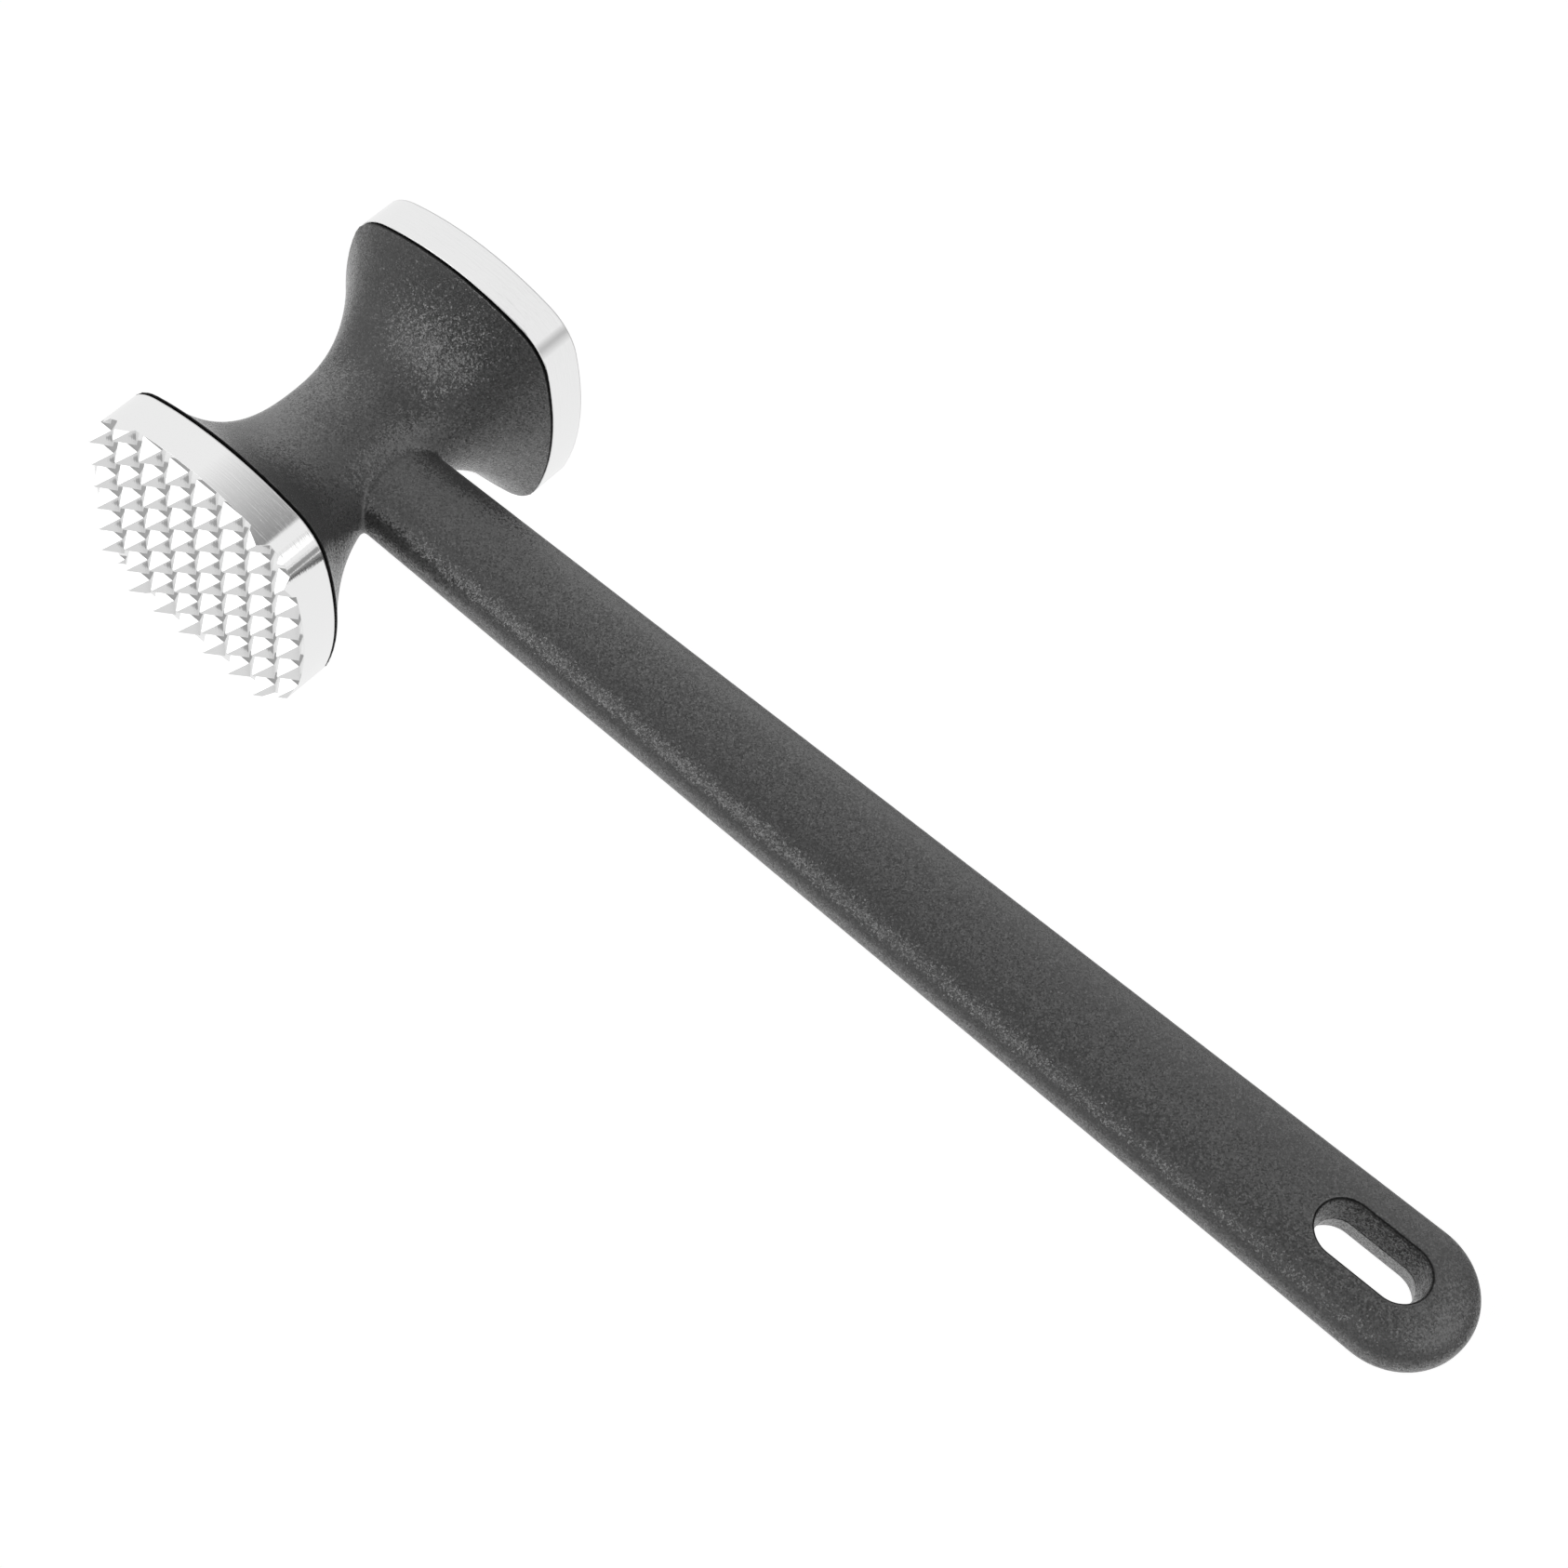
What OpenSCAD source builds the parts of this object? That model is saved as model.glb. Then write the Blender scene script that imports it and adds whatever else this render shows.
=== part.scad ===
// Meat mallet lying on its side, in millimetres.
// Origin: the centre of the smooth striking face. +Y leaves that face along the head,
// +X runs along the handle to its hang slot, +Z leaves the flat of the handle.

/* [Head] */
// Width across the flats of a face plate
face_w = 48.6; // [46:0.2:54]
// Radius of the bulge on each side of a face plate
side_r = 54; // [44:1:80]
// Radius of a face plate's corners
corner_r = 9.6; // [7:0.2:13]
// Length of the head from one plate's face to the other's valleys
head_len = 66.8; // [64:0.2:76]
// Thickness of a face plate, without its teeth
plate_t = 7; // [6:0.25:9]
// Half-width of the waist, along the handle
waist_x = 13; // [11:0.5:17]
// Half-height of the waist, across the flat of the handle
waist_z = 8.8; // [8.6:0.1:13]

/* [Teeth] */
// Distance from tooth to tooth
tooth_pitch = 6; // [5:0.25:8]
// Height of a tooth above the valleys
tooth_h = 3; // [2:0.25:4]
// Width of the flat valley between two teeth
valley_w = 1.8; // [1:0.1:2.4]
// Width of the small flat on a tooth's tip
tip_w = 0.3; // [0.2:0.05:0.5]

/* [Handle] */
// Distance from the head's centre line to the end of the handle
reach = 234; // [205:1:275]
// Thickness of the handle
grip_t = 10.8; // [10:0.2:14]
// Width of the handle at the head's centre line
neck_w = 18; // [16:0.5:21]
// Width of the handle at its round end
end_w = 24.8; // [22:0.2:30]

/* [Hang slot] */
// Width of the slot at the handle's two faces
slot_w = 10; // [8.4:0.2:12]
// Width of the slot at mid-thickness, where its two drafts meet
slot_mid_w = 7.8; // [6:0.2:8]
// Length of the slot's straight part
slot_run = 10; // [6:0.5:14]
// Distance from the slot's centre to the end of the handle
slot_back = 19; // [18:0.5:24]

/* [Core] */
// Diameter of the core at the waist
core_d = 12; // [11:0.5:13]
// Diameter of the core's end discs
disc_d = 30; // [28:1:32]
// Thickness of the core's end discs
disc_t = 5; // [4:0.5:6]
// Thickness of the flat tang
tang_t = 3; // [2:0.25:4]
// Width of the flat tang
tang_w = 10; // [8:0.5:11]

/* [Hidden] */
$fn = 96;
over = 0.5;               // how far a cutter passes the surface it opens

// Moulding
seal_t = 0.35;            // thickness of the seal between the moulding and a plate
seal_inset = 0.5;         // the seal stops short of the outline, which leaves a dark line
lip = 0.8;                // straight rim of the moulding behind a seal
waist_power = 2.15;       // superellipse power of the waist's cross-section
flare_x = 2.35;           // power of the flare along the handle
flare_z = 3;              // power of the flare across the handle
grip_power = 2.6;         // superellipse power of the handle's cross-section
head_rings = 28;          // rings along the head, an even number
ring_points = 64;         // points around each ring of the head
end_spans = 24;           // spans around the handle's round end
layer_step = 12;          // degrees between the handle's layers
last_layer = 84;          // the top and bottom layers, in degrees

// Core, studs, tang and pin
cone_y = 14;              // the core widens from here to its discs
stud_d = 5;
stud_x = 9;               // the studs sit this far each side of the head's centre line
stud_in_plate = 5;        // depth of a stud in its plate
stud_in_core = 6;         // depth of a stud in the core
tang_stub = 5;            // how far the tang passes the head's centre line
tang_gap = 12;            // plastic between the tang's end and the slot
lock_hole_d = 5;          // holes in the tang that the moulding flows through
lock_hole_x = 40;         // the first of them
lock_hole_step = 32;
pin_d = 3;
pin_len = 11;

face_r = face_w / 2;
grip_half = grip_t / 2;
head_y = -head_len / 2;                 // centre of the head
seam = head_len / 2 - plate_t;          // back face of a plate, from the head's centre
moulding_half = seam - seal_t;          // end face of the moulding
flare_half = moulding_half - lip;       // where the flare ends and the rim starts
end_r = end_w / 2;
end_x = reach - end_r;                  // centre of the handle's round end
slot_x = reach - slot_back;
tang_end = slot_x - slot_run / 2 - slot_w / 2 - tang_gap;

// A face plate is a square with bulged sides and round corners. The four side circles are
// centred on the axes, and the four corner circles touch them from inside.
side_c = face_r - side_r;
corner_c = (side_c + sqrt(2 * pow(side_r - corner_r, 2) - side_c * side_c)) / 2;
touch_a = atan2(corner_c, corner_c - side_c);
touch = [side_c + side_r * cos(touch_a), side_r * sin(touch_a)];

metal = [0.86, 0.87, 0.88];
steel = [0.62, 0.63, 0.65];
plastic = [0.27, 0.27, 0.28];
seal_black = [0.05, 0.05, 0.05];

// ---- Shared shapes ----

// Moves a child drawn along +Z so that it runs along +Y from y0.
module along_y(y0) {
    translate([0, y0, 0]) rotate([-90, 0, 0]) children();
}

// The plate's outline moved inwards by inset, as a solid of height h.
module plate_solid(h, inset = 0) {
    r = side_r - inset;
    diamond = (touch[0] + touch[1] - inset * sqrt(2) * sin(touch_a + 45)) * sqrt(2);
    intersection() {
        translate([side_c, 0, 0]) cylinder(h = h, r = r, $fn = 240);
        translate([-side_c, 0, 0]) cylinder(h = h, r = r, $fn = 240);
        translate([0, side_c, 0]) cylinder(h = h, r = r, $fn = 240);
        translate([0, -side_c, 0]) cylinder(h = h, r = r, $fn = 240);
        rotate([0, 0, 45]) translate([-diamond / 2, -diamond / 2, 0]) cube([diamond, diamond, h]);
    }
    for (sx = [-1, 1], sy = [-1, 1])
        translate([sx * corner_c, sy * corner_c, 0]) cylinder(h = h, r = corner_r - inset);
}

// Distance from the centre to the plate's outline in direction a.
function outline_r(a) =
    let (q = abs(a % 90), fold = min(q, 90 - q), far = corner_c * sqrt(2))
    fold < atan2(touch[1], touch[0])
        ? side_c * cos(fold) + sqrt(pow(side_r, 2) - pow(side_c * sin(fold), 2))
        : far * cos(45 - fold) + sqrt(pow(corner_r, 2) - pow(far * sin(45 - fold), 2));

function super_r(a, power) = pow(pow(abs(cos(a)), power) + pow(abs(sin(a)), power), -1 / power);

// Half-size of the head at a fraction s of the way from waist to rim.
function flared(waist, power, s) = waist + (face_r - waist) * pow(abs(s), power);

// One ring of the head at height y. It turns from an oval at the waist into the plate's outline.
function head_ring(s, y) = [
    for (i = [0 : ring_points - 1])
        let (a = i * 360 / ring_points,
             b = s * s,
             u = (1 - b) * super_r(a, waist_power) + b * outline_r(a) / face_r)
        [flared(waist_x, flare_x, s) * u * cos(a), y, flared(waist_z, flare_z, s) * u * sin(a)]
];

// A closed loft through rings that all have the same number of points.
module loft(rings) {
    n = len(rings[0]);
    last = len(rings) - 1;
    sides = [for (j = [0 : last - 1], i = [0 : n - 1])
        let (a = j * n + i, b = j * n + (i + 1) % n)
        each [[a, b, b + n], [a, b + n, a + n]]];
    first_cap = [for (i = [n - 1 : -1 : 0]) i];
    last_cap = [for (i = [0 : n - 1]) last * n + i];
    polyhedron(points = [for (ring = rings) each ring], faces = concat([first_cap, last_cap], sides));
}

module head_form() {
    flare = [for (j = [0 : head_rings])
        let (s = 2 * j / head_rings - 1) head_ring(s, s * flare_half)];
    loft(concat([head_ring(-1, -moulding_half)], flare, [head_ring(1, moulding_half)]));
}

// One layer of the handle: its plan outline drawn in to the fraction k, at height z.
function grip_layer(k, z) = concat(
    [[0, -k * neck_w / 2, z]],
    [for (i = [0 : end_spans])
        let (a = -90 + 180 * i / end_spans) [end_x + end_r * k * cos(a), end_r * k * sin(a), z]],
    [[0, k * neck_w / 2, z]]
);

module grip_form() {
    top = pow(sin(last_layer), 2 / grip_power);
    loft([for (a = [last_layer : -layer_step : -last_layer])
        grip_layer(pow(cos(a), 2 / grip_power),
                   sign(a) * grip_half * pow(abs(sin(a)), 2 / grip_power) / top)]);
}

// Upper half of the hang slot, which widens towards the face.
module slot_half() {
    h = grip_half + over;
    r_mid = slot_mid_w / 2;
    r_out = r_mid + (slot_w / 2 - r_mid) * h / grip_half;
    for (sx = [-1, 1])
        translate([slot_x + sx * slot_run / 2, 0, 0]) cylinder(h = h, r1 = r_mid, r2 = r_out);
    translate([slot_x - slot_run / 2, 0, 0]) rotate([90, 0, 90]) linear_extrude(slot_run)
        polygon([[-r_mid, 0], [r_mid, 0], [r_out, h], [-r_out, h]]);
}

// The core as it is turned, before its holes.
module core_blank() {
    disc_r = disc_d / 2;
    core_r = core_d / 2;
    rotate([-90, 0, 0]) rotate_extrude()
        polygon([[0, -seam], [disc_r, -seam], [disc_r, disc_t - seam], [core_r, -cone_y],
                 [core_r, cone_y], [disc_r, seam - disc_t], [disc_r, seam], [0, seam]]);
}

module tang_bar() {
    translate([-tang_stub, -tang_w / 2, -tang_t / 2])
        cube([tang_stub + tang_end - tang_w / 2, tang_w, tang_t]);
    translate([tang_end - tang_w / 2, 0, -tang_t / 2]) cylinder(h = tang_t, d = tang_w);
}

module tang_with_lock_holes() {
    difference() {
        tang_bar();
        for (x = [lock_hole_x : lock_hole_step : tang_end - tang_w])
            translate([x, 0, -tang_t]) cylinder(h = 2 * tang_t, d = lock_hole_d);
    }
}

module studs() {
    for (side = [-1, 1], sx = [-1, 1])
        translate([sx * stud_x, side * seam, 0]) rotate([-90 * side, 0, 0])
            translate([0, 0, -stud_in_core])
                cylinder(h = stud_in_core + stud_in_plate, d = stud_d, $fn = 48);
}

module pin() {
    translate([0, 0, -pin_len / 2]) cylinder(h = pin_len, d = pin_d, $fn = 48);
}

// Grooves that run along Z. The teeth stand between them.
module tooth_grooves() {
    valley_y = -seam - plate_t;
    slope = (tooth_pitch - valley_w - tip_w) / 2 / tooth_h;
    low = valley_w / 2;
    high = low + slope * (tooth_h + over);
    last = floor(face_r / tooth_pitch + 0.5);
    for (i = [-last : last])
        translate([i * tooth_pitch, 0, -face_w]) linear_extrude(2 * face_w)
            polygon([[-low, valley_y], [-high, valley_y - tooth_h - over],
                     [high, valley_y - tooth_h - over], [low, valley_y]]);
}

// ---- The pieces ----

module spiked_face_plate() {
    color(metal) translate([0, head_y, 0]) difference() {
        along_y(-seam - plate_t - tooth_h) plate_solid(plate_t + tooth_h);
        tooth_grooves();
        rotate([0, 90, 0]) tooth_grooves();
        studs();
    }
}

module smooth_face_plate() {
    color(metal) translate([0, head_y, 0]) difference() {
        along_y(seam) plate_solid(plate_t);
        studs();
    }
}

module seal() {
    difference() {
        along_y(moulding_half) plate_solid(seal_t, seal_inset);
        along_y(moulding_half - over) cylinder(h = seal_t + 2 * over, d = disc_d);
    }
}

module spiked_plate_seal() {
    color(seal_black) translate([0, head_y, 0]) mirror([0, 1, 0]) seal();
}

module smooth_plate_seal() {
    color(seal_black) translate([0, head_y, 0]) seal();
}

module moulded_body() {
    color(plastic) translate([0, head_y, 0]) difference() {
        union() {
            head_form();
            grip_form();
        }
        slot_half();
        mirror([0, 0, 1]) slot_half();
        core_blank();
        tang_with_lock_holes();
    }
}

module head_core() {
    color(steel) translate([0, head_y, 0]) difference() {
        core_blank();
        tang_bar();
        pin();
        studs();
    }
}

module plate_studs() {
    color(steel) translate([0, head_y, 0]) studs();
}

module handle_tang() {
    color(steel) translate([0, head_y, 0]) difference() {
        tang_with_lock_holes();
        pin();
    }
}

module tang_pin() {
    color(steel) translate([0, head_y, 0]) pin();
}

spiked_face_plate();
smooth_face_plate();
spiked_plate_seal();
smooth_plate_seal();
moulded_body();
head_core();
plate_studs();
handle_tang();
tang_pin();
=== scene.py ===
"""Looks of the meat mallet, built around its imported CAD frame.

The scene is in metres. The moulding's shape is worked out in millimetres from the centre of the head.

The CAD gives the plates, the seals and the hidden steel. The plastic moulding is built here again as one
smooth skin: the waisted head and the flat handle are blended where they meet, and the slot's edges are
rounded.
"""

import math

import bpy
import numpy as np
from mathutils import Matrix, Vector


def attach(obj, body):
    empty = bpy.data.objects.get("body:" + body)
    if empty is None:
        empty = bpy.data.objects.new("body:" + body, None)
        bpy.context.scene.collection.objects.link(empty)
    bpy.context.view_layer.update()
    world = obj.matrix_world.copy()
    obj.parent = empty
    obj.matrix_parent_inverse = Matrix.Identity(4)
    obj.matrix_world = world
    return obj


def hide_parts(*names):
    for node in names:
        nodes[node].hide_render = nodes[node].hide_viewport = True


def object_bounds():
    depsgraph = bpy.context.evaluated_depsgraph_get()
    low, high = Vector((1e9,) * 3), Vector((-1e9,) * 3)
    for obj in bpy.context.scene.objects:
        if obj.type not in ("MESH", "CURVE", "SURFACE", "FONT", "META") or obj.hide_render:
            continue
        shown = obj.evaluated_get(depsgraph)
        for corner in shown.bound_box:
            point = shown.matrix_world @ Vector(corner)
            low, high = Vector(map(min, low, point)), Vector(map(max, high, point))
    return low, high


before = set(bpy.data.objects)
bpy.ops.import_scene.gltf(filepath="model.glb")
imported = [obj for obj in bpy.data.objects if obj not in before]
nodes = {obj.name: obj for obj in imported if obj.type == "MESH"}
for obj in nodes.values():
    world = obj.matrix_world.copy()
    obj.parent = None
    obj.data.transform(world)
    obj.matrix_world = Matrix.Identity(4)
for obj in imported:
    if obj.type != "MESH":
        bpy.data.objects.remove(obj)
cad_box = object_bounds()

MM = 0.001
TINY = 1e-12  # keeps divisions clear of zero

# ---- Sizes of the moulding in millimetres, from the head's centre ----

HEAD_Y = -33.4  # centre of the head in the frame
SEAM = 26.4  # back face of a plate
PLATE_T = 7.0  # thickness of a plate without its teeth
RIM_END = 26.05  # end face of the moulding
LIP = 0.35  # straight rim of the moulding
FACE_R = 24.3  # half-width of a plate
SIDE_R = 54.0  # radius of a plate's bowed sides
CORNER_R = 9.6  # radius of a plate's corners
WAIST_X, WAIST_Z = 13.0, 8.8  # half-widths of the waist
FLARE_X, FLARE_Z = 2.35, 3.0  # how late the flare opens towards the plates
WAIST_POWER = 2.15  # 2 is an oval, more is squarer
GRIP_HALF = 5.4  # half-thickness of the handle
GRIP_POWER = 2.6  # the same for the handle's section
NECK_R = 9.0  # half-width of the handle at the head
END_R = 12.4  # half-width and end radius of the handle
END_X = 221.6  # centre of the handle's round end
SLOT_X, SLOT_RUN = 215.0, 10.0  # centre and straight length of the slot
SLOT_MID_R, SLOT_FACE_R = 3.9, 5.0  # half-widths at mid-thickness and at the flats
NECK_BLEND = 1.0  # fillet between the head and the handle
SLOT_ROUND = 0.55  # rounding of the slot's edges
RIDGE_ROUND = 0.02  # rounding of the ridge halfway through the slot, in square millimetres
RIM_ROUND = 0.35  # rounding of the rim at the seam

# ---- Lines of painted shade on the moulding, in millimetres ----

LIP_SHADE, LIP_SHADE_FADE = 0.25, 0.20  # painted shade at the edge of each seam, and how far it fades out
LINE_HALF = 0.08  # half-width of the two painted shade lines at the slot
SLOT_SHADE_R = 5.12  # where a painted shade line runs round the slot, just outside its edge
SLOT_REACH = 6.0  # how far from the slot's centre line the painted shadow along its mould line is drawn

# ---- Shape functions: negative inside, roughly the distance in millimetres ----


def soft_max(a, b, k):
    """The larger of a and b, rounded over a width k where they meet."""
    h = np.clip(0.5 + 0.5 * (a - b) / k, 0, 1)
    return b + (a - b) * h + k * h * (1 - h)


def soft_min(a, b, k):
    return -soft_max(-a, -b, k)


def corner_centre():
    """Offset of the corner circles' centres, which touch the big side circles from inside."""
    side_c = FACE_R - SIDE_R
    b = -2 * side_c
    c = side_c**2 - (SIDE_R - CORNER_R) ** 2
    return (-b + math.sqrt(b * b - 8 * c)) / 4


CORNER_C = corner_centre()
SIDE_C = FACE_R - SIDE_R
TOUCH_A = math.atan2(CORNER_C, CORNER_C - SIDE_C)
TOUCH = (SIDE_C + SIDE_R * math.cos(TOUCH_A), SIDE_R * math.sin(TOUCH_A))


def outline_r(a):
    """Distance from the centre to the plate's outline in direction a."""
    quarter = np.mod(a, math.pi / 2)
    fold = np.minimum(quarter, math.pi / 2 - quarter)
    far = CORNER_C * math.sqrt(2)
    side = SIDE_C * np.cos(fold) + np.sqrt(SIDE_R**2 - (SIDE_C * np.sin(fold)) ** 2)
    off = math.pi / 4 - fold
    corner = far * np.cos(off) + np.sqrt(np.maximum(CORNER_R**2 - (far * np.sin(off)) ** 2, 0))
    return np.where(fold < math.atan2(TOUCH[1], TOUCH[0]), side, corner)


def head_shape(x, y, z):
    """The waisted head: an oval at the waist that turns into the plate's outline at both ends."""
    flare_half = RIM_END - LIP
    s = np.clip(np.abs(y) / flare_half, 0, 1)
    rx = WAIST_X + (FACE_R - WAIST_X) * s**FLARE_X
    rz = WAIST_Z + (FACE_R - WAIST_Z) * s**FLARE_Z
    ux, uz = x / rx, z / rz
    a = np.arctan2(uz, ux)
    rho = np.sqrt(ux * ux + uz * uz) + TINY
    squared = np.abs(np.cos(a)) ** WAIST_POWER + np.abs(np.sin(a)) ** WAIST_POWER
    oval = squared ** (-1 / WAIST_POWER)
    b = s * s
    unit = (1 - b) * oval + b * outline_r(a) / FACE_R
    radial = (rho - unit) / rho * np.sqrt(x * x + z * z)
    steep_x = (FACE_R - WAIST_X) * FLARE_X * s ** (FLARE_X - 1) / flare_half
    steep_z = (FACE_R - WAIST_Z) * FLARE_Z * s ** (FLARE_Z - 1) / flare_half
    steep = np.where(s < 1, np.sqrt((steep_x * np.cos(a)) ** 2 + (steep_z * np.sin(a)) ** 2), 0)
    side = radial / np.sqrt(1 + steep**2)
    return soft_max(side, np.abs(y) - RIM_END, RIM_ROUND)


def grip_shape(x, y, z):
    """The flat handle, which widens to a round end."""
    past = np.maximum(x - END_X, 0)
    half = np.where(x > END_X, END_R, NECK_R + (END_R - NECK_R) * x / END_X)
    u = np.sqrt(past**2 + y**2) / half
    v = np.abs(z) / GRIP_HALF
    total = (u**GRIP_POWER + v**GRIP_POWER + TINY) ** (1 / GRIP_POWER)
    slope_u = (u / total) ** (GRIP_POWER - 1) / half
    slope_v = (v / total) ** (GRIP_POWER - 1) / GRIP_HALF
    side = (total - 1) / np.sqrt(slope_u**2 + slope_v**2 + TINY)
    return np.maximum(side, -x)


def slot_shape(x, y, z):
    """The hang slot, drafted from both flats to its narrowest at mid-thickness."""
    along = np.maximum(np.abs(x - SLOT_X) - SLOT_RUN / 2, 0)
    flat = np.sqrt(along**2 + y**2)
    height = np.sqrt(z * z + RIDGE_ROUND)
    draft = (SLOT_FACE_R - SLOT_MID_R) / GRIP_HALF
    return (flat - SLOT_MID_R - draft * height) / math.sqrt(1 + draft**2)


def moulding(p):
    x, y, z = p[..., 0], p[..., 1], p[..., 2]
    joined = soft_min(head_shape(x, y, z), grip_shape(x, y, z), NECK_BLEND)
    return soft_max(joined, -slot_shape(x, y, z), SLOT_ROUND)


# ---- A smooth skin on a shape function ----

MAX_STEP = 0.4  # farthest that a point moves in one round, in millimetres


def lines(*spans):
    """Grid lines from (start, end, step) spans that follow one another."""
    out = []
    for start, end, step in spans:
        n = max(1, round((end - start) / step))
        out.extend(start + (end - start) * i / n for i in range(n))
    out.append(spans[-1][1])
    return np.array(out)


CORNERS = np.array([(i, j, k) for i in (0, 1) for j in (0, 1) for k in (0, 1)])
PAIRS = [(a, b) for a in range(8) for b in range(a + 1, 8)]
EDGES = [(a, b) for a, b in PAIRS if np.abs(CORNERS[a] - CORNERS[b]).sum() == 1]


def skin(shape, xs, ys, zs):
    """Points and quads of the surface where shape is zero.

    Each grid cell that the surface crosses gets a point. Each grid edge that it crosses gets a quad.
    """
    grid = (xs, ys, zs)
    value = np.empty((len(xs), len(ys), len(zs)))
    mesh_y, mesh_z = np.meshgrid(ys, zs, indexing="ij")
    for i, x in enumerate(xs):
        value[i] = shape(np.stack([np.full_like(mesh_y, x), mesh_y, mesh_z], -1))
    inside = value < 0
    size = tuple(n - 1 for n in value.shape)
    count = np.zeros(size, int)
    for c in CORNERS:
        count += inside[c[0] : c[0] + size[0], c[1] : c[1] + size[1], c[2] : c[2] + size[2]]
    cell = np.argwhere((count > 0) & (count < 8))
    index = np.full(size, -1)
    index[tuple(cell.T)] = np.arange(len(cell))
    corner_v = np.stack([value[tuple((cell + c).T)] for c in CORNERS], 1)
    total = np.zeros((len(cell), 3))
    hits = np.zeros(len(cell))
    for a, b in EDGES:
        va, vb = corner_v[:, a], corner_v[:, b]
        cross = (va < 0) != (vb < 0)
        t = np.where(cross, va / np.where(cross, va - vb, 1), 0)[:, None]
        total += np.where(cross[:, None], CORNERS[a] * (1 - t) + CORNERS[b] * t, 0)
        hits += cross
    local = total / hits[:, None]
    points = np.empty_like(local)
    for axis in range(3):
        g = grid[axis]
        k = cell[:, axis]
        points[:, axis] = g[k] + (g[k + 1] - g[k]) * local[:, axis]
    quads = []
    for axis in range(3):
        u, v = (axis + 1) % 3, (axis + 2) % 3
        low = np.take(inside, range(value.shape[axis] - 1), axis)
        high = np.take(inside, range(1, value.shape[axis]), axis)
        edge = np.argwhere(low != high)
        within = (edge[:, u] > 0) & (edge[:, v] > 0) & (edge[:, u] < size[u]) & (edge[:, v] < size[v])
        edge = edge[within]
        ring = []
        for du, dv in ((-1, -1), (0, -1), (0, 0), (-1, 0)):
            at = edge.copy()
            at[:, u] += du
            at[:, v] += dv
            ring.append(index[tuple(at.T)])
        ring = np.stack(ring, 1)
        flip = ~low[tuple(edge.T)]
        ring[flip] = ring[flip][:, ::-1]
        quads.append(ring)
    return points, np.concatenate(quads)


def slope(shape, p, step=0.02):
    """The direction in which shape grows at each point, and how fast."""
    out = np.empty_like(p)
    for axis in range(3):
        d = np.zeros(3)
        d[axis] = step
        out[:, axis] = (shape(p + d) - shape(p - d)) / (2 * step)
    return out


def settle(shape, points, quads, rounds):
    """Evens the points out along the surface and puts them back on it.

    The last two rounds only put them back.
    """
    n = len(points)
    ends = np.concatenate([quads[:, [i, (i + 1) % 4]] for i in range(4)])
    ends = np.unique(np.sort(ends, 1), axis=0)
    degree = np.bincount(ends.ravel(), minlength=n)[:, None]
    for k in range(rounds):
        if k < rounds - 2:
            total = np.empty_like(points)
            for axis in range(3):
                total[:, axis] = np.bincount(ends[:, 0], points[ends[:, 1], axis], n)
                total[:, axis] += np.bincount(ends[:, 1], points[ends[:, 0], axis], n)
            points = points * 0.5 + total / degree * 0.5
        g = slope(shape, points)
        step = (shape(points) / (np.sum(g * g, 1) + TINY))[:, None] * g
        points = points - np.clip(step, -MAX_STEP, MAX_STEP)
    return points


def new_mesh(name, points, faces):
    mesh = bpy.data.meshes.new(name)
    mesh.from_pydata((points * MM).tolist(), [], [list(map(int, f)) for f in faces])
    mesh.update()
    obj = bpy.data.objects.new(name, mesh)
    bpy.context.scene.collection.objects.link(obj)
    return obj


def build_moulding():
    """The moulding's skin on a grid that is finer at the seams, the neck and the slot."""
    xs = lines((-25.3, -14, 0.7), (-14, 26, 0.55), (26, 202, 1.6), (202, 235, 0.42))
    half_y = lines((0.2, 13.2, 0.42), (13.2, 24.4, 0.7), (24.4, 26.4, 0.2))
    half_z = lines((0.15, 6.15, 0.375), (6.15, 25.35, 0.6))
    ys = np.concatenate([-half_y[::-1], half_y])
    zs = np.concatenate([-half_z[::-1], half_z])
    points, quads = skin(moulding, xs, ys, zs)
    points = settle(moulding, points, quads, 6)
    points[:, 1] += HEAD_Y
    obj = new_mesh("moulding_skin", points, quads)
    obj.data.shade_smooth()
    off_wall = slot_shape(points[:, 0], points[:, 1] - HEAD_Y, points[:, 2])
    on_mould_line = (np.abs(points[:, 2]) < 0.05) & (off_wall < 0.2)
    for edge in obj.data.edges:
        if all(on_mould_line[v] for v in edge.vertices):
            edge.use_edge_sharp = True
    return obj


# ---- Materials ----


def node_material(name):
    mat = bpy.data.materials.new(name)
    mat.use_nodes = True
    tree = mat.node_tree
    bsdf = next(n for n in tree.nodes if n.type == "BSDF_PRINCIPLED")
    return mat, tree, bsdf


def noise(tree, coords, scale, detail=2.0, roughness=0.5):
    node = tree.nodes.new("ShaderNodeTexNoise")
    node.inputs["Scale"].default_value = scale
    node.inputs["Detail"].default_value = detail
    node.inputs["Roughness"].default_value = roughness
    tree.links.new(coords, node.inputs["Vector"])
    return node.outputs["Fac"]


def ramp(tree, source, low, high, out_low, out_high):
    """Goes from out_low to out_high as the source goes from low to high, and is level outside that."""
    node = tree.nodes.new("ShaderNodeMapRange")
    node.inputs["From Min"].default_value = low
    node.inputs["From Max"].default_value = high
    node.inputs["To Min"].default_value = out_low
    node.inputs["To Max"].default_value = out_high
    tree.links.new(source, node.inputs["Value"])
    return node.outputs["Result"]


def facing(tree, way, direction):
    """How far a way points in the given direction: 1 for straight at it."""
    node = tree.nodes.new("ShaderNodeVectorMath")
    node.operation = "DOT_PRODUCT"
    node.inputs[1].default_value = direction
    tree.links.new(way, node.inputs[0])
    return node.outputs["Value"]


def combine(tree, operation, a, b):
    node = tree.nodes.new("ShaderNodeMath")
    node.operation = operation
    tree.links.new(a, node.inputs[0])
    tree.links.new(b, node.inputs[1])
    return node.outputs[0]


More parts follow.
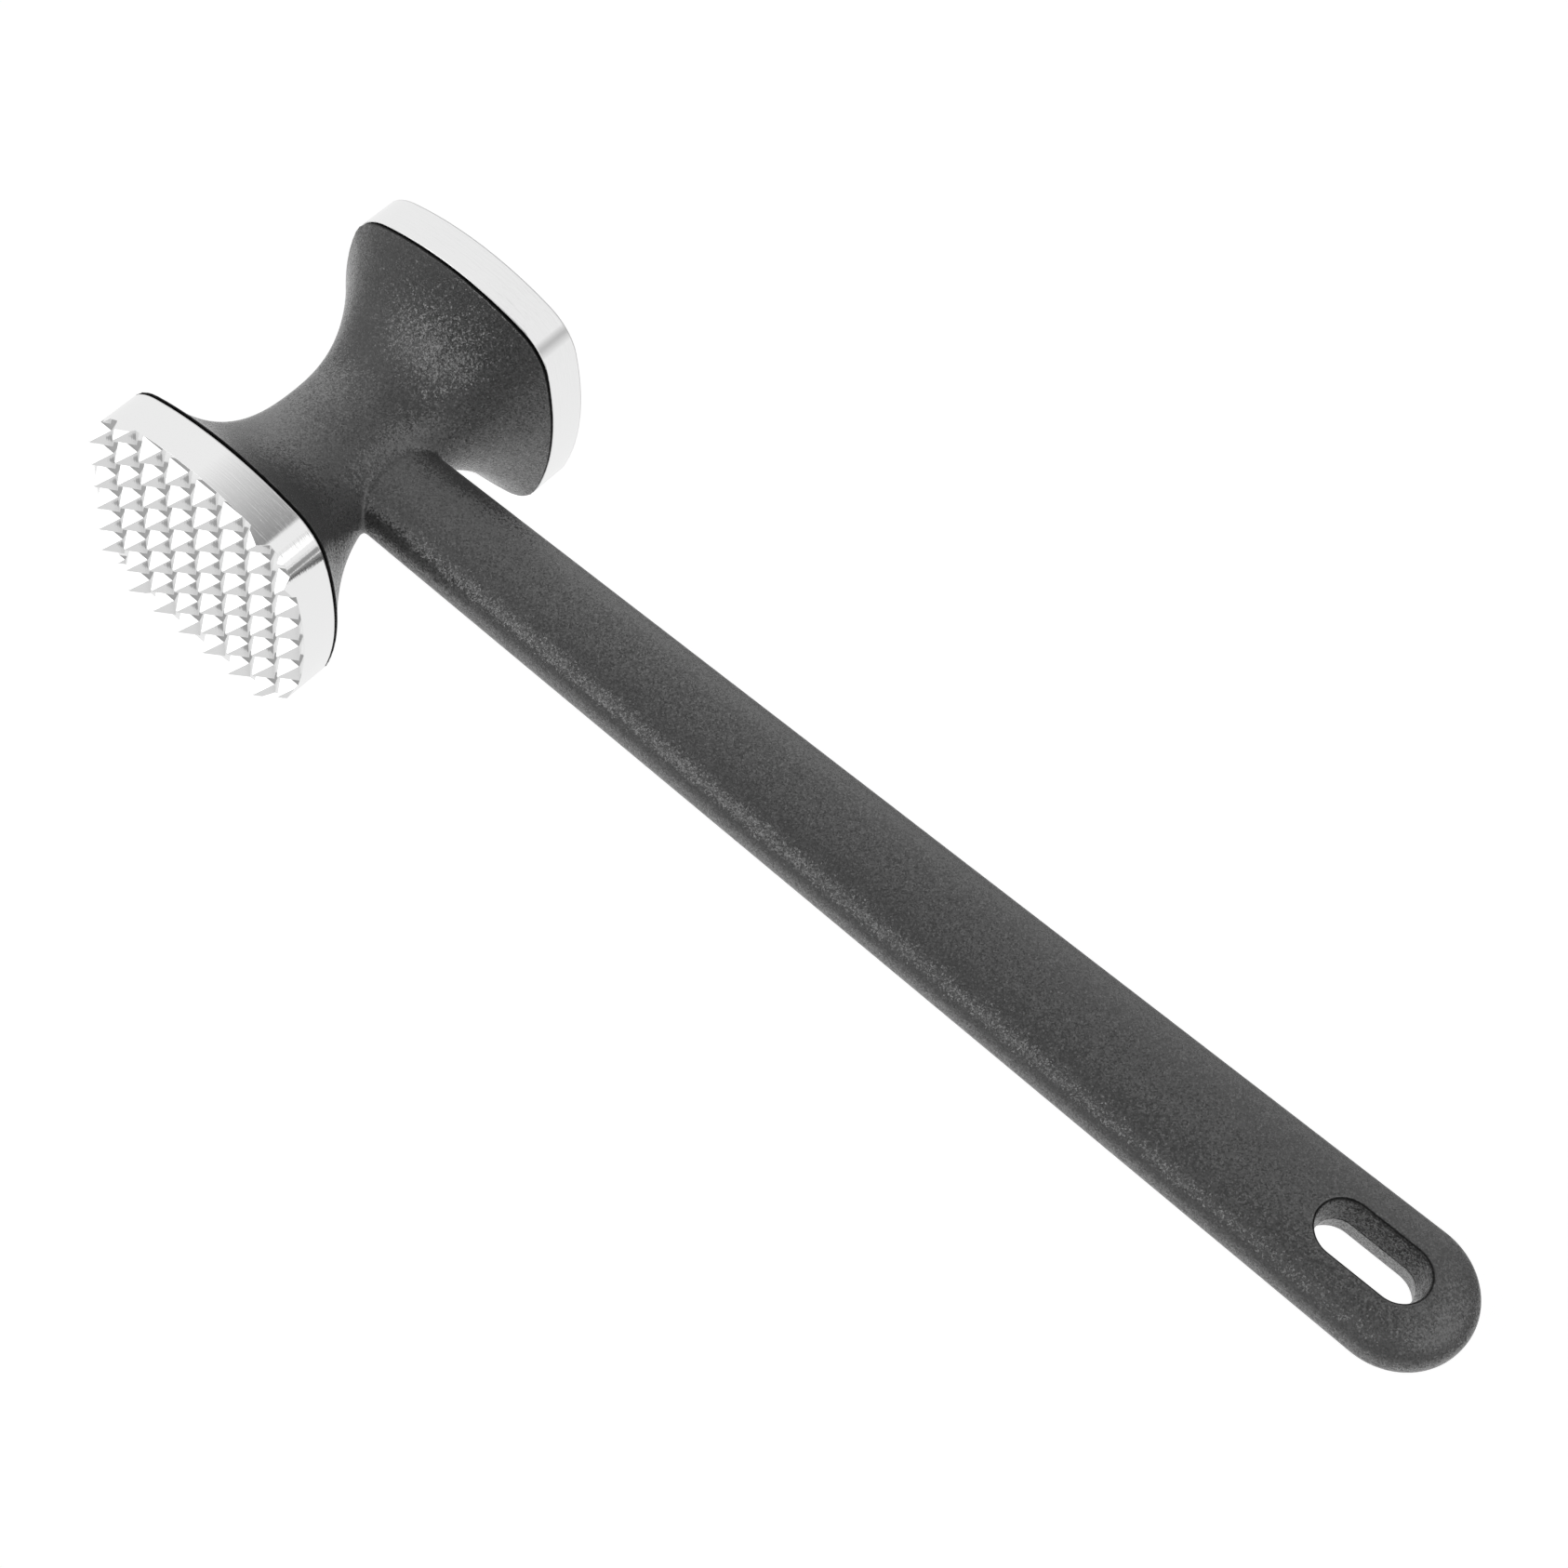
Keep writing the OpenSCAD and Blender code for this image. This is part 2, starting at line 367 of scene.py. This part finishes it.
def mix_colour(tree, fac, a, b):
    node = tree.nodes.new("ShaderNodeMix")
    node.data_type = "RGBA"
    node.inputs[6].default_value = (*a, 1)
    node.inputs[7].default_value = (*b, 1)
    tree.links.new(fac, node.inputs[0])
    return node.outputs[2]


def bump(tree, bsdf, height, strength, distance, below=None):
    node = tree.nodes.new("ShaderNodeBump")
    node.inputs["Strength"].default_value = strength
    node.inputs["Distance"].default_value = distance
    tree.links.new(height, node.inputs["Height"])
    if below is not None:
        tree.links.new(below, node.inputs["Normal"])
    tree.links.new(node.outputs["Normal"], bsdf.inputs["Normal"])


def object_coords(tree):
    return tree.nodes.new("ShaderNodeTexCoord").outputs["Object"]


def split(tree, coords):
    node = tree.nodes.new("ShaderNodeSeparateXYZ")
    tree.links.new(coords, node.inputs[0])
    return node.outputs


def grains(tree, coords, scale):
    """A random colour for each small grain."""
    cells = tree.nodes.new("ShaderNodeTexVoronoi")
    cells.inputs["Scale"].default_value = scale
    tree.links.new(coords, cells.inputs["Vector"])
    return cells.outputs["Color"]


def tilted_facets(tree, colour, amount):
    """The surface normal, tilted a little at random from one small grain to the next."""
    centred = tree.nodes.new("ShaderNodeVectorMath")
    centred.operation = "SUBTRACT"
    centred.inputs[1].default_value = (0.5, 0.5, 0.5)
    tree.links.new(colour, centred.inputs[0])
    lean = tree.nodes.new("ShaderNodeVectorMath")
    lean.operation = "SCALE"
    lean.inputs["Scale"].default_value = amount
    tree.links.new(centred.outputs[0], lean.inputs[0])
    total = tree.nodes.new("ShaderNodeVectorMath")
    total.operation = "ADD"
    tree.links.new(tree.nodes.new("ShaderNodeNewGeometry").outputs["Normal"], total.inputs[0])
    tree.links.new(lean.outputs[0], total.inputs[1])
    unit = tree.nodes.new("ShaderNodeVectorMath")
    unit.operation = "NORMALIZE"
    tree.links.new(total.outputs[0], unit.inputs[0])
    return unit.outputs[0]


def distance_from(tree, value, centre):
    """How far a value is from the centre value, on either side."""
    away = tree.nodes.new("ShaderNodeMath")
    away.operation = "SUBTRACT"
    away.inputs[1].default_value = centre
    tree.links.new(value, away.inputs[0])
    size = tree.nodes.new("ShaderNodeMath")
    size.operation = "ABSOLUTE"
    tree.links.new(away.outputs[0], size.inputs[0])
    return size.outputs[0]


def from_slot(tree, x, across):
    """Distance from the slot's centre line, seen along z.

    The ramp has a slope of 1, so it gives the distance past the straight part, or 0 along it.
    """
    straight = SLOT_RUN / 2 * MM
    past = ramp(tree, distance_from(tree, x, SLOT_X * MM), straight, straight + 1, 0, 1)
    flat = tree.nodes.new("ShaderNodeCombineXYZ")
    tree.links.new(past, flat.inputs["X"])
    tree.links.new(across, flat.inputs["Y"])
    length = tree.nodes.new("ShaderNodeVectorMath")
    length.operation = "LENGTH"
    tree.links.new(flat.outputs[0], length.inputs[0])
    return length.outputs["Value"]


def moulded_plastic():
    """Dark grained plastic, with black lines of painted shade at both seams, round the slot and along the
    slot's mould line.
    """
    mat, tree, bsdf = node_material("moulded_plastic")
    coords = object_coords(tree)
    place = split(tree, coords)
    along_head = distance_from(tree, place["Y"], HEAD_Y * MM)
    off_slot = from_slot(tree, place["X"], along_head)
    # Painted shadow: a black line halfway through the slot, along its mould line.
    line_half = LINE_HALF * MM
    at_middle = ramp(tree, distance_from(tree, place["Z"], 0), line_half, line_half + 0.14 * MM, 1, 0)
    in_slot = ramp(tree, off_slot, SLOT_REACH * MM, (SLOT_REACH + 0.2) * MM, 1, 0)
    slot_middle_shadow = ramp(tree, combine(tree, "MULTIPLY", at_middle, in_slot), 0, 1, 1, 0)
    # Painted shade: a black line round the slot, just outside its edge.
    off_edge = distance_from(tree, off_slot, SLOT_SHADE_R * MM)
    slot_edge_shadow = ramp(tree, off_edge, line_half, line_half + 0.12 * MM, 0.1, 1)
    # Painted shade: a black edge on the moulding at each seam.
    lip_shade_start = (RIM_END - LIP_SHADE) * MM
    seam_shadow = ramp(tree, along_head, lip_shade_start - LIP_SHADE_FADE * MM, lip_shade_start, 1, 0)
    # clear is 1 away from the painted shade lines; on them it darkens the colour and dulls the
    # reflections.
    clear = combine(tree, "MULTIPLY", combine(tree, "MULTIPLY", seam_shadow, slot_middle_shadow), slot_edge_shadow)

    # A shade of 1 is a quarter of the way to the lighter colour, which leaves room for bright specks.
    cell = grains(tree, coords, 4000)
    pick = tree.nodes.new("ShaderNodeSeparateColor")
    tree.links.new(cell, pick.inputs[0])
    mottle = ramp(tree, pick.outputs["Red"], 0, 1, 0.70, 1.20)
    speck = ramp(tree, pick.outputs["Green"], 0.90, 0.98, 0, 0.7)
    grained = combine(tree, "ADD", mottle, speck)
    shade = combine(tree, "MULTIPLY", grained, ramp(tree, clear, 0, 1, 0.1, 1))
    colour = mix_colour(tree, ramp(tree, shade, 0, 4, 0, 1), (0, 0, 0), (0.126, 0.126, 0.126))
    tree.links.new(colour, bsdf.inputs["Base Color"])
    drift = noise(tree, coords, 60, 2)
    tree.links.new(ramp(tree, drift, 0.3, 0.7, 0.20, 0.25), bsdf.inputs["Roughness"])
    tree.links.new(ramp(tree, clear, 0, 1, 0.03, 0.52), bsdf.inputs["Specular IOR Level"])
    grain = noise(tree, coords, 4200, 2, 0.6)
    bump(tree, bsdf, grain, 0.6, 0.08 * MM, below=tilted_facets(tree, cell, 0.42))
    return mat


def polished_plate():
    """Polished metal with soft edges, painted shade in the hollows and fine marks that run round the rim.
    """
    mat, tree, bsdf = node_material("polished_plate")
    coords = object_coords(tree)
    bsdf.inputs["Metallic"].default_value = 1.0
    # Painted shade: the metal is greyer where ambient occlusion finds hollows, as between the teeth.
    hollow_shade = tree.nodes.new("ShaderNodeAmbientOcclusion")
    hollow_shade.samples = 6
    hollow_shade.only_local = True
    hollow_shade.inputs["Distance"].default_value = 1.6 * MM
    shade = ramp(tree, hollow_shade.outputs["AO"], 0.45, 0.95, 0, 1)
    colour = mix_colour(tree, shade, (0.62, 0.62, 0.62), (0.88, 0.88, 0.88))
    tree.links.new(colour, bsdf.inputs["Base Color"])
    stretch = tree.nodes.new("ShaderNodeMapping")
    stretch.inputs["Scale"].default_value = (0.06, 1.0, 0.06)
    tree.links.new(coords, stretch.inputs["Vector"])
    streaks = noise(tree, stretch.outputs["Vector"], 3000, 3, 0.6)
    cloud = noise(tree, coords, 90, 2)
    tree.links.new(ramp(tree, cloud, 0.3, 0.7, 0.05, 0.11), bsdf.inputs["Roughness"])
    edge = tree.nodes.new("ShaderNodeBevel")
    edge.samples = 6
    crisp_end = (HEAD_Y - SEAM - PLATE_T + 1) * MM  # the teeth and 1 mm of their plate have crisper edges
    radius = ramp(tree, split(tree, coords)["Y"], crisp_end, crisp_end + MM, 0.12 * MM, 0.35 * MM)
    tree.links.new(radius, edge.inputs["Radius"])
    bump(tree, bsdf, streaks, 0.45, 0.04 * MM, below=edge.outputs["Normal"])
    return mat


def dark_seal():
    """Black rubber that takes almost no light."""
    mat, tree, bsdf = node_material("dark_seal")
    coords = object_coords(tree)
    fine = noise(tree, coords, 1800, 2)
    colour = mix_colour(tree, fine, (0.002, 0.002, 0.002), (0.006, 0.006, 0.006))
    tree.links.new(colour, bsdf.inputs["Base Color"])
    bsdf.inputs["Roughness"].default_value = 0.8
    bsdf.inputs["Specular IOR Level"].default_value = 0.1
    bump(tree, bsdf, fine, 0.3, 0.03 * MM)
    return mat


def turned_steel():
    """Plain steel of the hidden core, studs, tang and pin."""
    mat, tree, bsdf = node_material("turned_steel")
    coords = object_coords(tree)
    rings = noise(tree, coords, 700, 3, 0.6)
    bsdf.inputs["Metallic"].default_value = 1.0
    colour = mix_colour(tree, rings, (0.42, 0.42, 0.43), (0.56, 0.56, 0.57))
    tree.links.new(colour, bsdf.inputs["Base Color"])
    tree.links.new(ramp(tree, rings, 0.3, 0.7, 0.25, 0.42), bsdf.inputs["Roughness"])
    bump(tree, bsdf, rings, 0.2, 0.05 * MM)
    return mat


def paint(obj, mat):
    obj.data.materials.clear()
    obj.data.materials.append(mat)


# ---- The object ----

plastic, plate, seal, steel = moulded_plastic(), polished_plate(), dark_seal(), turned_steel()

body = build_moulding()
paint(body, plastic)
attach(body, "root")
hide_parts("moulded_body")
paint(nodes["moulded_body"], plastic)

for name in ("spiked_face_plate", "smooth_face_plate"):
    paint(nodes[name], plate)
for name in ("spiked_plate_seal", "smooth_plate_seal"):
    paint(nodes[name], seal)
for name in ("head_core", "plate_studs", "handle_tang", "tang_pin"):
    paint(nodes[name], steel)

bevel = nodes["smooth_face_plate"].modifiers.new("edge", "BEVEL")
bevel.width = 0.4 * MM
bevel.segments = 3
bevel.limit_method = "ANGLE"
bevel.angle_limit = math.radians(50)
bevel.harden_normals = True

# ---- Stage: pale floor, soft studio light and camera ----


def sheet(name, low, high):
    """A level or upright rectangle between two opposite corners."""
    u, v = (axis for axis in range(3) if low[axis] != high[axis])
    corners = []
    for end_u, end_v in ((low, low), (high, low), (high, high), (low, high)):
        corner = list(low)
        corner[u], corner[v] = end_u[u], end_v[v]
        corners.append(corner)
    mesh = bpy.data.meshes.new(name)
    mesh.from_pydata(corners, [], [(0, 1, 2, 3)])
    obj = bpy.data.objects.new(name, mesh)
    bpy.context.scene.collection.objects.link(obj)
    return obj


def floor():
    """A pale floor that lights the matte undersides and is left out of reflections."""
    half, z = 3.0, cad_box[0][2]
    obj = sheet("floor", (-half, -half, z), (half, half, z))
    mat, tree, bsdf = node_material("pale_floor")
    bsdf.inputs["Base Color"].default_value = (0.60, 0.60, 0.60, 1)
    bsdf.inputs["Roughness"].default_value = 0.9
    bsdf.inputs["Specular IOR Level"].default_value = 0.1
    bsdf.inputs["Emission Color"].default_value = (1, 1, 1, 1)
    rays = tree.nodes.new("ShaderNodeLightPath")
    glow = ramp(tree, rays.outputs["Is Diffuse Ray"], 0, 1, 0.93, 5.2)
    tree.links.new(glow, bsdf.inputs["Emission Strength"])
    paint(obj, mat)
    obj.visible_glossy = False


LIT_POINT = Vector((0.1, -0.03, 0))  # where the lights point, just short of the handle's middle
lit = bpy.data.collections.new("lit_plastic")
lit.objects.link(body)


def area_light(name, place, size, power):
    """A soft square light that falls on the plastic only, so the metal shows no bright squares."""
    data = bpy.data.lights.new(name, "AREA")
    data.shape = "SQUARE"
    data.size = size
    data.energy = power
    obj = bpy.data.objects.new(name, data)
    obj.location = place
    obj.rotation_euler = (LIT_POINT - Vector(place)).to_track_quat("-Z", "Y").to_euler()
    bpy.context.scene.collection.objects.link(obj)
    obj.light_linking.receiver_collection = lit


def sky():
    """A white light tent for reflections, with a bright window up in front.

    It is darker straight in front, straight behind and low at the front right. Matte surfaces take only a
    little light from it, and the camera sees it plain white.
    """
    world = bpy.data.worlds.new("studio")
    world.use_nodes = True
    bpy.context.scene.world = world
    tree = world.node_tree
    background = next(n for n in tree.nodes if n.type == "BACKGROUND")
    background.inputs["Color"].default_value = (1, 1, 1, 1)
    way = tree.nodes.new("ShaderNodeTexCoord").outputs["Generated"]
    front_right = ramp(tree, facing(tree, way, (0.62, -0.62, -0.48)), 0.50, 0.88, 0.94, 0.76)
    window = ramp(tree, facing(tree, way, (-0.38, -0.62, 0.69)), 0.86, 0.96, 0, 1.0)
    front = ramp(tree, facing(tree, way, (0, -0.98, 0.15)), 0.55, 0.90, 1, 0.45)
    behind = ramp(tree, facing(tree, way, (0, 1, 0)), 0.50, 0.85, 1, 0.45)
    tent = combine(tree, "MULTIPLY", front_right, combine(tree, "MULTIPLY", front, behind))
    reflected = combine(tree, "ADD", tent, window)
    rays = tree.nodes.new("ShaderNodeLightPath")
    matte_share = ramp(tree, rays.outputs["Is Diffuse Ray"], 0, 1, 1, 0.1)
    strength = tree.nodes.new("ShaderNodeMix")
    strength.inputs["B"].default_value = 1.0
    tree.links.new(rays.outputs["Is Camera Ray"], strength.inputs["Factor"])
    tree.links.new(combine(tree, "MULTIPLY", reflected, matte_share), strength.inputs["A"])
    tree.links.new(strength.outputs["Result"], background.inputs["Strength"])


def board(name, low, high, shade, fade=()):
    """A matte board that shows only in reflections.

    Each fade is an axis, the place where the board is clear and the place where it is solid.
    """
    obj = sheet(name, low, high)
    mat, tree, bsdf = node_material(name)
    bsdf.inputs["Base Color"].default_value = (0, 0, 0, 1)
    bsdf.inputs["Specular IOR Level"].default_value = 0
    bsdf.inputs["Emission Color"].default_value = (1, 1, 1, 1)
    bsdf.inputs["Emission Strength"].default_value = shade
    if fade:
        place = split(tree, object_coords(tree))
        opacity, *others = [ramp(tree, place[axis], clear, solid, 0, 1) for axis, clear, solid in fade]
        for other in others:
            opacity = combine(tree, "MULTIPLY", opacity, other)
        tree.links.new(opacity, bsdf.inputs["Alpha"])
    paint(obj, mat)
    obj.visible_camera = False
    obj.visible_diffuse = False
    obj.visible_shadow = False


def camera():
    """A long lens high up on the toothed side, turned so that the handle runs down to the right."""
    data = bpy.data.cameras.new("camera")
    data.sensor_width = 36.0
    data.lens = 69.5923
    data.shift_x = 0.045931
    data.shift_y = 0.048250
    data.clip_start = 0.01
    obj = bpy.data.objects.new("camera", data)
    obj.location = (0.221203, -0.258990, 0.415570)
    obj.rotation_euler = [math.radians(angle) for angle in (29.72387, -6.09262, 41.03914)]
    bpy.context.scene.collection.objects.link(obj)
    bpy.context.scene.camera = obj


floor()
overhead_fade = (("X", -0.22, 0.06), ("X", 0.20, 0.14), ("Y", 0.20, 0.14))
board("grey_board", (-0.3, -0.5, 0.44), (0.27, 0.22, 0.44), 0.30, overhead_fade)
board("right_board", (0.35, -0.25, -0.02), (0.35, 0.13, 0.045), 0.30)
board("thin_board", (0.35, -0.25, 0.066), (0.35, 0.13, 0.070), 0.30)
patch_fade = (("Z", 0.05, 0.15), ("Z", 0.28, 0.17))
board("far_patch", (0.28, 0.09, 0.04), (0.28, 0.27, 0.28), 0.55, patch_fade)
board("near_patch", (0.29, 0.0, 0.12), (0.29, 0.09, 0.22), 1.3)
sky()
area_light("key", (-0.20, -0.80, 0.80), 0.4, 4.8)
area_light("right", (0.80, 0.35, 0.85), 0.9, 5.5)
area_light("low_right", (1.1, -0.14, 0.28), 0.5, 1.0)
area_light("back_left", (-0.52, 0.59, 0.68), 1.4, 4.0)
area_light("low_back_left", (-0.67, 0.74, 0.26), 1.1, 3.2)
area_light("low_back", (0.1, 1.05, 0.30), 0.6, 1.2)
camera()
bpy.context.scene.view_settings.view_transform = "Standard"
